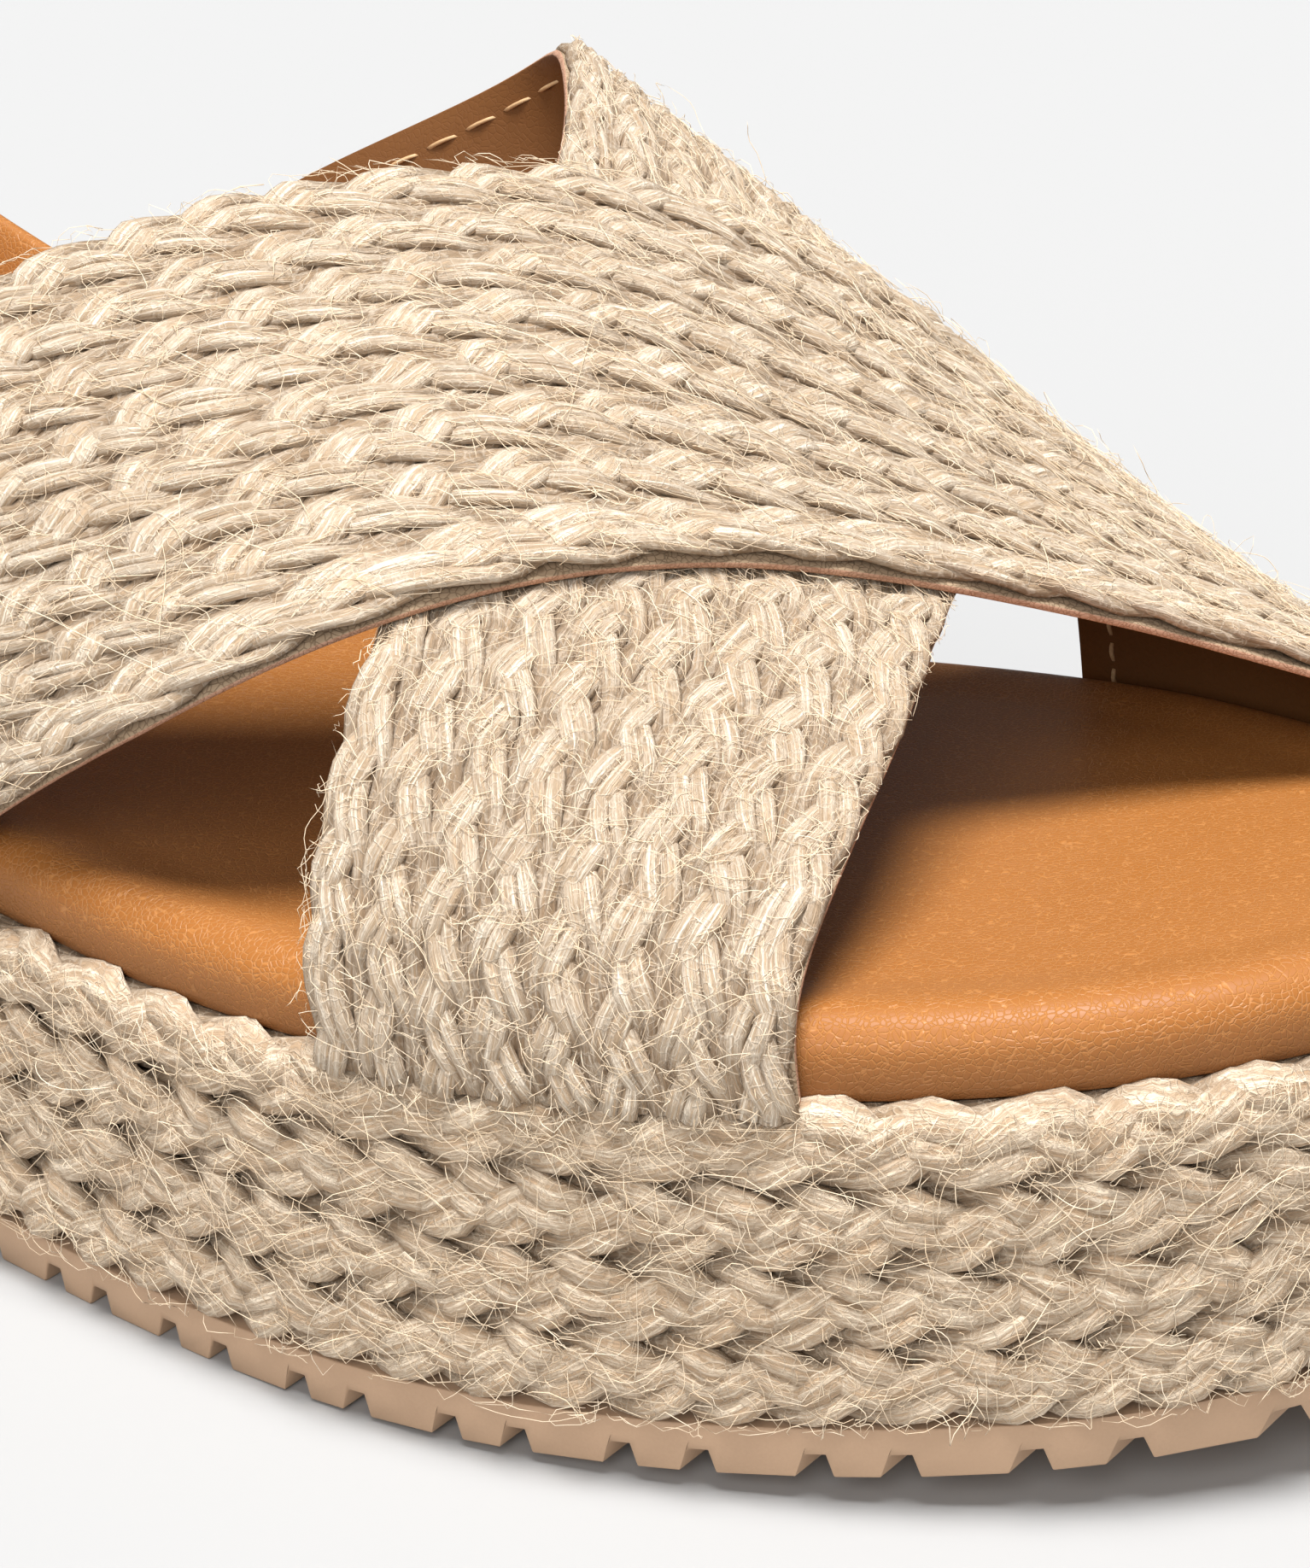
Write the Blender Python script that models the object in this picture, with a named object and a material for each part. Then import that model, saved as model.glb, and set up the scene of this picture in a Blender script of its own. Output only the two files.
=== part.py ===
"""Right-foot rope sandal.

Two wide straps of rope plaits cross over the foot and stand on the rim of a rope-covered
platform. A leather footbed lies between their feet, a leather strap passes round the heel, and
a rubber outsole with cross lugs closes the platform underneath.

Metres. +Z is up and +X runs from heel to toe, so the little-toe side (called outer) is at -Y and
the big-toe side (called inner) at +Y. Heights are counted from the floor under the lugs. The
finished pieces are moved together so that the origin is under the middle of the whole sandal.
"""

import bpy
import bmesh
import numpy as np

# Footbed
INSOLE_LENGTH = 0.245
HALF_WIDTH = 0.045
INSOLE_THICKNESS = 0.0069
INSOLE_EDGE_RADIUS = 0.0034
INSOLE_DISH = 0.0008
DISH_INSET = 0.010

# Platform
CLEARANCE = 0.0003
PLATFORM_HEIGHT = 0.0248
PLATFORM_REVEAL = 0.0012
HEEL_LIFT = 0.0079
HEEL_LIFT_LENGTH = 0.612 * INSOLE_LENGTH
ROPE_ROWS = 4
ROPE_BULGE = 0.0016

# Outsole
OUTSOLE_THICKNESS = 0.0042
OUTSOLE_REVEAL = 0.0012
LUG_DEPTH = 0.0019
LUG_TAPER = 0.0006
LONG_LUG = 0.0055
SHORT_LUG = 0.0031
LUG_GAP = 0.0026
FIRST_LUG = 0.0078
TOE_SPRING = 0.0063
TOE_SPRING_START = 0.62 * INSOLE_LENGTH

# Crossed straps
INSTEP_HEIGHT = 0.0588
STRAP_WALL = 0.0032
PLAITS = 8
PLAIT_GROOVE = 0.0008
FOOT_GAP = 0.0005
EDGE_HEIGHT = INSOLE_THICKNESS - INSOLE_EDGE_RADIUS
OUTER_FULLNESS = 2.41
INNER_FULLNESS = 2.46
STRAP_BITE = 0.0006
OVERSTRAP_LIFT = STRAP_WALL - PLAIT_GROOVE - STRAP_BITE
STRAP_STEPS = 40

# Heel strap
HEEL_STRAP_WIDTH = 0.018
HEEL_STRAP_WALL = 0.0024
HEEL_STRAP_HEIGHT = 0.047
HEEL_STRAP_CLEAR = 0.001
HEEL_STRAP_END_HEIGHT = INSOLE_THICKNESS + HEEL_STRAP_CLEAR + HEEL_STRAP_WIDTH / 2
HEEL_STRAP_TURN = 0.184 * INSOLE_LENGTH
HEEL_STRAP_BACK = 0.016 * INSOLE_LENGTH
HEEL_STRAP_INNER_END = 0.400 * INSOLE_LENGTH
HEEL_STRAP_OUTER_END = 0.424 * INSOLE_LENGTH
HEEL_STRAP_EDGE = 0.0008

# Each table starts with the names of its columns.
# Outline of the footbed: share of its length, then each side as a share of the half width.
OUTLINE = [
    ("length", "outer", "inner"),
    (0.000, 0.000, 0.000),
    (0.012, 0.275, 0.275),
    (0.041, 0.458, 0.458),
    (0.102, 0.629, 0.618),
    (0.184, 0.710, 0.687),
    (0.306, 0.755, 0.641),
    (0.408, 0.801, 0.584),
    (0.510, 0.881, 0.618),
    (0.612, 0.973, 0.755),
    (0.673, 1.007, 0.881),
    (0.735, 0.996, 0.961),
    (0.796, 0.927, 0.973),
    (0.857, 0.801, 0.893),
    (0.906, 0.652, 0.778),
    (0.947, 0.458, 0.618),
    (0.980, 0.206, 0.412),
    (1.000, -0.137, 0.137),
]

# Sections of the last over the foot: share of the footbed length, crest as a share of the
# instep height, and how far the crest leans to the inner side for its height.
LAST = [
    ("length", "crest", "lean"),
    (0.000, 1.740, 0.100),
    (0.204, 1.728, 0.250),
    (0.327, 1.463, 0.530),
    (0.449, 1.177, 0.554),
    (0.551, 1.000, 0.550),
    (0.653, 0.820, 0.450),
    (0.755, 0.532, 0.330),
    (0.857, 0.303, 0.210),
    (0.959, 0.153, 0.160),
]

# Edges of the straps as shares of the footbed length, at shares of the way over the foot from
# the outer side to the inner side. The understrap runs back as it crosses, the overstrap forward.
STRAP_EDGES = [
    ("over", "under_rear", "under_front", "over_rear", "over_front"),
    (0.0, 0.694, 0.844, 0.280, 0.502),
    (0.2, 0.680, 0.834, 0.432, 0.666),
    (0.4, 0.647, 0.811, 0.559, 0.762),
    (0.6, 0.582, 0.767, 0.659, 0.841),
    (0.8, 0.413, 0.644, 0.732, 0.913),
    (1.0, 0.274, 0.486, 0.758, 0.933),
]

# Middle of the heel strap: share of its length from the inner end, and its rise from the height
# of its ends to the height at the back of the heel.
HEEL_STRAP_PATH = [
    ("along", "rise"),
    (0.00, 0.00),
    (0.10, 0.15),
    (0.20, 0.39),
    (0.35, 0.78),
    (0.50, 1.00),
    (0.65, 0.78),
    (0.80, 0.40),
    (0.90, 0.19),
    (1.00, 0.06),
]

# Cross-section of one rope row: share of its height, and how far it stands out.
ROPE_ROW = [("height", "stand"), (0.0, 0.0), (0.18, 0.72), (0.5, 1.0), (0.82, 0.72)]


def column(table, name):
    """One named column of a table."""
    place = table[0].index(name)
    return np.array([row[place] for row in table[1:]])


def smooth(at, knots, values):
    """Height of a smooth curve through the rows of a table."""
    slopes = np.gradient(values, knots)
    at = np.clip(at, knots[0], knots[-1])
    row = np.clip(np.searchsorted(knots, at, side="right") - 1, 0, len(knots) - 2)
    step = knots[row + 1] - knots[row]
    t = (at - knots[row]) / step
    left = (1 + 2 * t) * values[row] + t * step * slopes[row]
    right = (3 - 2 * t) * values[row + 1] - (1 - t) * step * slopes[row + 1]
    return (1 - t) ** 2 * left + t**2 * right


# Footbed outline

def turn(share):
    """Share of the length as an angle, so that the round heel and toe come out round."""
    return np.arccos(np.clip(1 - 2 * share, -1, 1))


def side(x, name):
    """Distance of one side of the footbed from the centre line."""
    knots = turn(column(OUTLINE, "length"))
    return HALF_WIDTH * smooth(turn(x / INSOLE_LENGTH), knots, column(OUTLINE, name))


def outline(stations, grow):
    """Closed outline, anticlockwise from the heel, standing grow outside the footbed."""
    outer = np.column_stack([stations, -side(stations, "outer")])
    inner = np.column_stack([stations, side(stations, "inner")])
    ring = np.vstack([outer, inner[-2:0:-1]])
    along = np.roll(ring, -1, axis=0) - np.roll(ring, 1, axis=0)
    along /= np.linalg.norm(along, axis=1)[:, None]
    return ring + grow * np.column_stack([along[:, 1], -along[:, 0]])


def round_stations(count):
    """Stations along the footbed that crowd together at the heel and the toe."""
    return INSOLE_LENGTH * (1 - np.cos(np.linspace(0, np.pi, count))) / 2


# Heights above the floor

def spring(x):
    """Rise of the whole sole towards the toe."""
    past = np.clip((x - TOE_SPRING_START) / (INSOLE_LENGTH - TOE_SPRING_START), 0, None)
    return TOE_SPRING * past**2


def platform_bottom(x):
    return spring(x) + OUTSOLE_THICKNESS + CLEARANCE


def platform_top(x):
    lift = HEEL_LIFT * np.clip(1 - x / HEEL_LIFT_LENGTH, 0, None)
    return platform_bottom(x) + PLATFORM_HEIGHT + lift


def footbed_bottom(x):
    return platform_top(x) + CLEARANCE


def lug_corners():
    """Corners of the lugs along the sole: station, and height above the lugs' faces."""
    corners = []
    start = FIRST_LUG - LONG_LUG - SHORT_LUG - 2 * LUG_GAP
    while start < INSOLE_LENGTH:
        for lug in (LONG_LUG, SHORT_LUG):
            groove = start + lug
            start = groove + LUG_GAP
            corners += [(groove, 0), (groove + LUG_TAPER, LUG_DEPTH)]
            corners += [(start - LUG_TAPER, LUG_DEPTH), (start, 0)]
    return np.array(corners)


def lug_bottom(x):
    """Underside of the outsole on the lugs and in the grooves between them."""
    return spring(x) + np.interp(x, *lug_corners().T)


def lug_stations():
    """Stations at the corners of every lug, with more where the heel and the toe turn."""
    corners = lug_corners()[:, 0]
    corners = corners[(corners > LUG_GAP) & (corners < INSOLE_LENGTH - LUG_GAP / 2)]
    turns = round_stations(28)
    turns = turns[(turns < FIRST_LUG / 2) | (turns > INSOLE_LENGTH - FIRST_LUG)]
    stations = np.sort(np.concatenate([corners, turns]))
    apart = np.diff(stations, append=2 * INSOLE_LENGTH) > LUG_TAPER / 3
    return stations[apart]


# Meshes

def new_object(name, bm, colour, roughness):
    """Object from a closed mesh, with faces pointing out and a plain material."""
    bmesh.ops.recalc_face_normals(bm, faces=bm.faces)
    mesh = bpy.data.meshes.new(name)
    bm.to_mesh(mesh)
    bm.free()
    mesh.shade_smooth()
    mesh.set_sharp_from_angle(angle=np.radians(40))
    material = bpy.data.materials.new(name)
    material.use_nodes = True
    finish = material.node_tree.nodes["Principled BSDF"]
    finish.inputs["Base Color"].default_value = (*colour, 1)
    finish.inputs["Roughness"].default_value = roughness
    mesh.materials.append(material)
    piece = bpy.data.objects.new(name, mesh)
    bpy.context.collection.objects.link(piece)
    return piece


def join_rings(bm, rings, closed_ends):
    """Faces between neighbouring rings, which all have the same number of corners."""
    rows = [[bm.verts.new(point) for point in ring] for ring in rings]
    for low, high in zip(rows, rows[1:]):
        for i in range(len(low)):
            j = (i + 1) % len(low)
            bm.faces.new((low[i], low[j], high[j], high[i]))
    if closed_ends:
        bm.faces.new(rows[0])
        bm.faces.new(rows[-1])
    return rows


def cap_across(bm, row):
    """Close a ring of the sole with strips from its outer side to its inner side."""
    count = len(row) // 2 + 1
    outer = row[:count]
    inner = [row[0], *row[:count - 2:-1]]
    bm.faces.new((outer[0], outer[1], inner[1]))
    for i in range(1, count - 2):
        bm.faces.new((outer[i], outer[i + 1], inner[i + 1], inner[i]))
    bm.faces.new((outer[count - 2], outer[count - 1], inner[count - 2]))


def sole_layer(name, stations, levels, colour, roughness):
    """One layer of the sole. Each level is a distance outside the footbed and a height rule."""
    bm = bmesh.new()
    x = np.concatenate([stations, stations[-2:0:-1]])
    rings = [np.column_stack([outline(stations, grow), height(x)]) for grow, height in levels]
    rows = join_rings(bm, rings, False)
    cap_across(bm, rows[0])
    cap_across(bm, rows[-1])
    return new_object(name, bm, colour, roughness)


# Sole pieces

def make_outsole():
    """Rubber outsole with bars of long and short lugs across it."""
    levels = [
        (OUTSOLE_REVEAL - LUG_TAPER / 2, lug_bottom),
        (OUTSOLE_REVEAL, lambda x: spring(x) + LUG_DEPTH + LUG_TAPER),
        (OUTSOLE_REVEAL, lambda x: spring(x) + OUTSOLE_THICKNESS),
    ]
    return sole_layer("outsole", lug_stations(), levels, (0.45, 0.33, 0.24), 0.75)


def make_midsole():
    """Rope-covered platform whose side is wound with rows of rope."""
    levels = []
    heights = column(ROPE_ROW, "height")
    stands = column(ROPE_ROW, "stand")
    for row in range(ROPE_ROWS):
        for height, stand in zip(heights, stands):
            share = (row + height) / ROPE_ROWS
            levels.append((PLATFORM_REVEAL + ROPE_BULGE * stand, platform_share(share)))
    levels.append((PLATFORM_REVEAL, platform_share(1)))
    return sole_layer("midsole", round_stations(48), levels, (0.55, 0.44, 0.32), 0.9)


def platform_share(share):
    """Height rule at a share of the platform's thickness."""
    return lambda x: (1 - share) * platform_bottom(x) + share * platform_top(x)


def make_insole():
    """Padded leather footbed with a rounded edge and a shallow dish."""
    levels = [(0, footbed_bottom)]
    for angle in np.radians([0, 35, 65, 90]):
        grow = -INSOLE_EDGE_RADIUS * (1 - np.cos(angle))
        drop = INSOLE_EDGE_RADIUS * (1 - np.sin(angle))
        levels.append((grow, footbed_height(INSOLE_THICKNESS - drop)))
    levels.append((-DISH_INSET, footbed_height(INSOLE_THICKNESS - INSOLE_DISH)))
    return sole_layer("insole", round_stations(48), levels, (0.55, 0.24, 0.06), 0.45)


def footbed_height(up):
    """Height rule at a distance above the footbed's underside."""
    return lambda x: footbed_bottom(x) + up


# Straps on the last

def last_sizes(x, out):
    """Middle, half width, height over the edge and lean of the last, grown by out."""
    share = x / INSOLE_LENGTH
    knots = column(LAST, "length")
    outer = side(x, "outer")
    inner = side(x, "inner")
    middle = (inner - outer) / 2
    half = (inner + outer) / 2 + FOOT_GAP + out
    crest = INSTEP_HEIGHT * smooth(share, knots, column(LAST, "crest")) + out
    return middle, half, crest - EDGE_HEIGHT, smooth(share, knots, column(LAST, "lean"))


def last_point(x, over, out):
    """Point on the last at a station and a share of the way over the foot."""
    middle, half, arch, lean = last_sizes(x, out)
    angle = np.concatenate([[0], np.linspace(0, np.pi, 61), [np.pi]])
    across = -np.cos(angle)
    power = np.where(across < 0, 2 / OUTER_FULLNESS, 2 / INNER_FULLNESS)
    rise = np.clip(np.sin(angle), 0, 1) ** power
    y = middle + half * np.sign(across) * np.abs(across) ** power + lean * arch * rise**2
    z = EDGE_HEIGHT + arch * rise
    z[[0, -1]] = 0
    steps = np.hypot(np.diff(y), np.diff(z))
    walk = np.concatenate([[0], np.cumsum(steps)])
    place = over * walk[-1]
    return (x, np.interp(place, walk, y), footbed_bottom(x) + np.interp(place, walk, z))


def plait_depth(across):
    """How far the face of a strap lies under the crest of its plaits."""
    place = (across * PLAITS) % 1
    return PLAIT_GROOVE * (2 * place - 1) ** 2


def make_strap(name, rear, front, lift):
    """Plaited strap as a closed band over the last between two edges from the table."""
    knots = column(STRAP_EDGES, "over")
    face = np.linspace(0, 1, 2 * PLAITS + 1)
    lining = np.linspace(1, 0, PLAITS + 1)
    bm = bmesh.new()
    rings = []
    for over in np.linspace(0, 1, STRAP_STEPS + 1):
        low = INSOLE_LENGTH * smooth(over, knots, column(STRAP_EDGES, rear))
        high = INSOLE_LENGTH * smooth(over, knots, column(STRAP_EDGES, front))
        raised = lift * (1 - (2 * over - 1) ** 6)
        ring = []
        for across in face:
            out = raised + STRAP_WALL - plait_depth(across)
            ring.append(last_point(low + (high - low) * across, over, out))
        for across in lining:
            ring.append(last_point(low + (high - low) * across, over, raised))
        rings.append(ring)
    join_rings(bm, rings, True)
    return new_object(name, bm, (0.62, 0.50, 0.36), 0.85)


def make_upper():
    """Understrap and overstrap joined where they cross."""
    upper = make_strap("upper", "under_rear", "under_front", 0)
    over = make_strap("overstrap_form", "over_rear", "over_front", OVERSTRAP_LIFT)
    over.hide_render = True
    over.display_type = "WIRE"
    join = upper.modifiers.new("join", "BOOLEAN")
    join.operation = "UNION"
    join.object = over
    return upper


# Heel strap

def wall_y(x, up, out, sign):
    """Side of the last at a station and a height above the footbed's underside."""
    middle, half, arch, lean = last_sizes(x, out)
    fullness = INNER_FULLNESS if sign > 0 else OUTER_FULLNESS
    rise = np.clip((up - EDGE_HEIGHT) / arch, 0, 1)
    across = np.sqrt(1 - rise**fullness) ** (2 / fullness)
    return middle + sign * half * across + lean * arch * rise**2


def heel_strap_plan():
    """Stations round the heel: where each is, its side, and its turn towards the back."""
    back = HEEL_STRAP_TURN - HEEL_STRAP_BACK
    turns = np.radians(np.linspace(0, 90, 12))
    plan = [(x, 1, 0.0) for x in np.linspace(HEEL_STRAP_INNER_END, HEEL_STRAP_TURN, 11)[:-1]]
    plan += [(HEEL_STRAP_TURN - back * np.sin(a), 1, a) for a in turns]
    plan += [(HEEL_STRAP_TURN - back * np.sin(a), -1, a) for a in turns[-2::-1]]
    plan += [(x, -1, 0.0) for x in np.linspace(HEEL_STRAP_TURN, HEEL_STRAP_OUTER_END, 12)[1:]]
    return plan


def heel_strap_point(station, up, out):
    """Point of the heel strap, on the last at its ends and on a round curve at the back."""
    x, sign, angle = station
    if angle == 0:
        return (x, wall_y(x, up, out, sign), footbed_bottom(x) + up)
    y = wall_y(HEEL_STRAP_TURN, up, out, sign) * np.cos(angle)
    return (x - out * np.sin(angle), y, footbed_bottom(x) + up)


def make_heel_strap():
    """Leather strap round the heel, its ends inside the feet of the crossed straps."""
    plan = heel_strap_plan()
    middle = np.array([heel_strap_point(s, HEEL_STRAP_HEIGHT / 2, 0)[:2] for s in plan])
    walk = np.concatenate([[0], np.cumsum(np.linalg.norm(np.diff(middle, axis=0), axis=1))])
    knots = column(HEEL_STRAP_PATH, "along")
    rises = column(HEEL_STRAP_PATH, "rise")
    climb = HEEL_STRAP_HEIGHT - HEEL_STRAP_END_HEIGHT
    edge = HEEL_STRAP_WIDTH / 2
    face = -CLEARANCE
    lining = face - HEEL_STRAP_WALL
    profile = [
        (-edge + HEEL_STRAP_EDGE, face),
        (0, face),
        (edge - HEEL_STRAP_EDGE, face),
        (edge, face - HEEL_STRAP_EDGE),
        (edge, lining + HEEL_STRAP_EDGE),
        (edge - HEEL_STRAP_EDGE, lining),
        (0, lining),
        (-edge + HEEL_STRAP_EDGE, lining),
        (-edge, lining + HEEL_STRAP_EDGE),
        (-edge, face - HEEL_STRAP_EDGE),
    ]
    bm = bmesh.new()
    rings = []
    for station, along in zip(plan, walk / walk[-1]):
        height = HEEL_STRAP_END_HEIGHT + climb * smooth(along, knots, rises)
        rings.append([heel_strap_point(station, height + up, out) for up, out in profile])
    join_rings(bm, rings, True)
    return new_object("heel_strap", bm, (0.58, 0.27, 0.08), 0.5)


def centre_on_floor(pieces):
    """Move the pieces together so that the origin is under the middle of the sandal."""
    bpy.context.view_layer.update()
    corners = [np.array(corner) for piece in pieces for corner in piece.bound_box]
    low = np.min(corners, axis=0)
    high = np.max(corners, axis=0)
    middle = (low + high) / 2
    for piece in pieces:
        for vertex in piece.data.vertices:
            vertex.co.x -= middle[0]
            vertex.co.y -= middle[1]


for old in list(bpy.data.objects):
    bpy.data.objects.remove(old)

make_outsole()
make_midsole()
make_insole()
make_upper()
make_heel_strap()
centre_on_floor(list(bpy.data.objects))
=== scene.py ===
# %% [markdown]
# A rope sandal for the right foot. Two wide straps, each sewn together from eight plaited jute
# ropes on a leather lining, cross over the foot. The thick platform is wound with four rows of a
# heavier plait. A padded leather footbed lies on it and a rubber outsole closes it underneath.
# The solids were made first, so this lesson loads them as a fixed frame and dresses them: every
# piece here goes where the solids say, and only the surface is new.

# %% Load the frame
import bpy
import numpy as np
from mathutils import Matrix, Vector


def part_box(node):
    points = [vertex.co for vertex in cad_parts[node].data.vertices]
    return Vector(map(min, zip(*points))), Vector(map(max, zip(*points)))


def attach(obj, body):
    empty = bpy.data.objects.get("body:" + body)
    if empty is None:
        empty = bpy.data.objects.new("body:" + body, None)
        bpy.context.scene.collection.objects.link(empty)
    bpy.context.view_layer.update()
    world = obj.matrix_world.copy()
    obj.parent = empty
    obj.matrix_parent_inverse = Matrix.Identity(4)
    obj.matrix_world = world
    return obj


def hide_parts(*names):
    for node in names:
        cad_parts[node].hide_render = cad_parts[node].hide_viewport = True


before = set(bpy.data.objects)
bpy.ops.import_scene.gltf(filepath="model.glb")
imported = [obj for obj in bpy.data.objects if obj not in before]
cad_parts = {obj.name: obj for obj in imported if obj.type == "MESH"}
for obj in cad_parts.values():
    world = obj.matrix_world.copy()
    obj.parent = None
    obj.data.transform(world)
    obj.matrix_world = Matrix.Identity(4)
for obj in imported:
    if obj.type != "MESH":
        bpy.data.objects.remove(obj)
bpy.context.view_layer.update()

print("solids:", sorted(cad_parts))

# %% [markdown]
# The photograph looks at the forefoot from the little-toe side, from close by and a little above.
# The place and the lens were worked out from the edges of the sole, so they are written down as a
# real place near the sandal: a camera 160 mm above the floor with a lens of about 96 mm.

# %% Camera
CAMERA_PLACE = (0.22522, -0.26856, 0.16000)
CAMERA_DOWN = 20.91
CAMERA_TURN = 33.65
CAMERA_LENS = 95.9
CAMERA_SENSOR = 36.0
CAMERA_NEAREST = 0.01

camera = bpy.data.cameras.new("camera")
camera.lens = CAMERA_LENS
camera.sensor_width = CAMERA_SENSOR
camera.clip_start = CAMERA_NEAREST
camera_object = bpy.data.objects.new("camera", camera)
camera_object.location = CAMERA_PLACE
camera_object.rotation_euler = np.radians([90 - CAMERA_DOWN, 0, CAMERA_TURN])
bpy.context.collection.objects.link(camera_object)
bpy.context.scene.camera = camera_object
print("camera at", CAMERA_PLACE)

# %% [markdown]
# A product picture of this kind is taken on a pale table under a large soft lamp, with a weaker one
# lower down in front that lifts the sides, and white walls that fill the shadows. A big plane is
# the table and the world is the walls. Sun lamps with a wide angle are the soft lights, because
# they light the whole table evenly, so that the background has no falloff. The shadow in front of
# the toe is short, so the main lamp is nearly overhead, a little toward the camera. The plain
# colour transform keeps white white.

# %% Floor and light
FLOOR_SIZE = 8.0
FLOOR_COLOUR = (0.422, 0.422, 0.422)
FLOOR_ROUGHNESS = 0.9
FLOOR_SHINE = 0.1
WORLD_STRENGTH = 0.20
LAMPS = [
    ("name", "side", "spread", "strength"),
    ("overhead_lamp", (0.09, -0.16, 1.0), 27.0, 5.5),
    ("front_lamp", (0.25, -0.80, 0.45), 40.0, 1.6),
]


def deselect():
    """Operators act on all that is selected, so each step starts from nothing."""
    bpy.ops.object.select_all(action="DESELECT")


deselect()
bpy.ops.mesh.primitive_plane_add(size=FLOOR_SIZE, location=(0, 0, 0))
floor = bpy.context.object
floor.name = "floor"
floor_look = bpy.data.materials.new("white_table")
floor_look.use_nodes = True
table_finish = floor_look.node_tree.nodes["Principled BSDF"]
table_finish.inputs["Base Color"].default_value = (*FLOOR_COLOUR, 1)
table_finish.inputs["Roughness"].default_value = FLOOR_ROUGHNESS
table_finish.inputs["Specular IOR Level"].default_value = FLOOR_SHINE
floor.data.materials.append(floor_look)

world = bpy.data.worlds.new("white_walls")
world.use_nodes = True
walls = world.node_tree.nodes["Background"]
walls.inputs["Color"].default_value = (1, 1, 1, 1)
walls.inputs["Strength"].default_value = WORLD_STRENGTH
bpy.context.scene.world = world

for name, side_of_lamp, spread, strength in LAMPS[1:]:
    lamp = bpy.data.lights.new(name, "SUN")
    lamp.angle = np.radians(spread)
    lamp.energy = strength
    lamp_object = bpy.data.objects.new(name, lamp)
    lamp_object.location = side_of_lamp
    lamp_object.rotation_euler = (-Vector(side_of_lamp)).to_track_quat("-Z", "Y").to_euler()
    bpy.context.collection.objects.link(lamp_object)
    print(name, "from", side_of_lamp, "spread over", spread, "degrees")
bpy.context.scene.view_settings.view_transform = "Standard"

# %% [markdown]
# The rope has to lie on the same curves as the solids, so the sizes and tables of the sandal come
# next: the outline of the footbed, the sections of the last over the foot, and the edges of the
# straps. Places along the foot are shares of the footbed's length, which is read from the frame.
# Widths in the outline are shares of HALF_WIDTH and crests are shares of INSTEP_HEIGHT.

# %% Sizes of the sandal
footbed_low, footbed_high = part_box("insole")
LENGTH = footbed_high[0] - footbed_low[0]
HALF_WIDTH = 0.045
FOOTBED_THICKNESS = 0.0069
FOOTBED_EDGE_RADIUS = 0.0034
FOOTBED_DISH = 0.0008
DISH_INSET = 0.010
CLEARANCE = 0.0003
PLATFORM_HEIGHT = 0.0248
HEEL_LIFT = 0.0079
HEEL_LIFT_LENGTH = 0.612 * LENGTH
OUTSOLE_THICKNESS = 0.0042
TOE_SPRING = 0.0063
TOE_SPRING_START = 0.62 * LENGTH
INSTEP_HEIGHT = 0.0588
FOOT_GAP = 0.0005
EDGE_HEIGHT = FOOTBED_THICKNESS - FOOTBED_EDGE_RADIUS
OUTER_FULLNESS = 2.41
INNER_FULLNESS = 2.46
OVERSTRAP_LIFT = 0.0018
PLAITS = 8
ROPE_ROWS = 4

OUTLINE = [
    ("length", "outer", "inner"),
    (0.000, 0.000, 0.000),
    (0.012, 0.275, 0.275),
    (0.041, 0.458, 0.458),
    (0.102, 0.629, 0.618),
    (0.184, 0.710, 0.687),
    (0.306, 0.755, 0.641),
    (0.408, 0.801, 0.584),
    (0.510, 0.881, 0.618),
    (0.612, 0.973, 0.755),
    (0.673, 1.007, 0.881),
    (0.735, 0.996, 0.961),
    (0.796, 0.927, 0.973),
    (0.857, 0.801, 0.893),
    (0.906, 0.652, 0.778),
    (0.947, 0.458, 0.618),
    (0.980, 0.206, 0.412),
    (1.000, -0.137, 0.137),
]
LAST = [
    ("length", "crest", "lean"),
    (0.000, 1.740, 0.100),
    (0.204, 1.728, 0.250),
    (0.327, 1.463, 0.530),
    (0.449, 1.177, 0.554),
    (0.551, 1.000, 0.550),
    (0.653, 0.820, 0.450),
    (0.755, 0.532, 0.330),
    (0.857, 0.303, 0.210),
    (0.959, 0.153, 0.160),
]
STRAP_EDGES = [
    ("over", "under_rear", "under_front", "over_rear", "over_front"),
    (0.0, 0.694, 0.844, 0.280, 0.502),
    (0.2, 0.680, 0.834, 0.432, 0.666),
    (0.4, 0.647, 0.811, 0.559, 0.762),
    (0.6, 0.582, 0.767, 0.659, 0.841),
    (0.8, 0.413, 0.644, 0.732, 0.913),
    (1.0, 0.274, 0.486, 0.758, 0.933),
]


def column(table, name):
    """One named column of a table."""
    place = table[0].index(name)
    return np.array([row[place] for row in table[1:]])


def smooth(at, knots, values):
    """Height of a smooth curve through the rows of a table."""
    slopes = np.gradient(values, knots)
    at = np.clip(at, knots[0], knots[-1])
    row = np.clip(np.searchsorted(knots, at, side="right") - 1, 0, len(knots) - 2)
    step = knots[row + 1] - knots[row]
    t = (at - knots[row]) / step
    left = (1 + 2 * t) * values[row] + t * step * slopes[row]
    right = (3 - 2 * t) * values[row + 1] - (1 - t) * step * slopes[row + 1]
    return (1 - t) ** 2 * left + t**2 * right


def turn(share):
    """Share of the length as an angle, so that the round heel and toe come out round."""
    return np.arccos(np.clip(1 - 2 * share, -1, 1))


def side(x, name):
    """Distance of one side of the footbed from the centre line."""
    return HALF_WIDTH * smooth(turn(x / LENGTH), turn(column(OUTLINE, "length")), column(OUTLINE, name))


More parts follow.
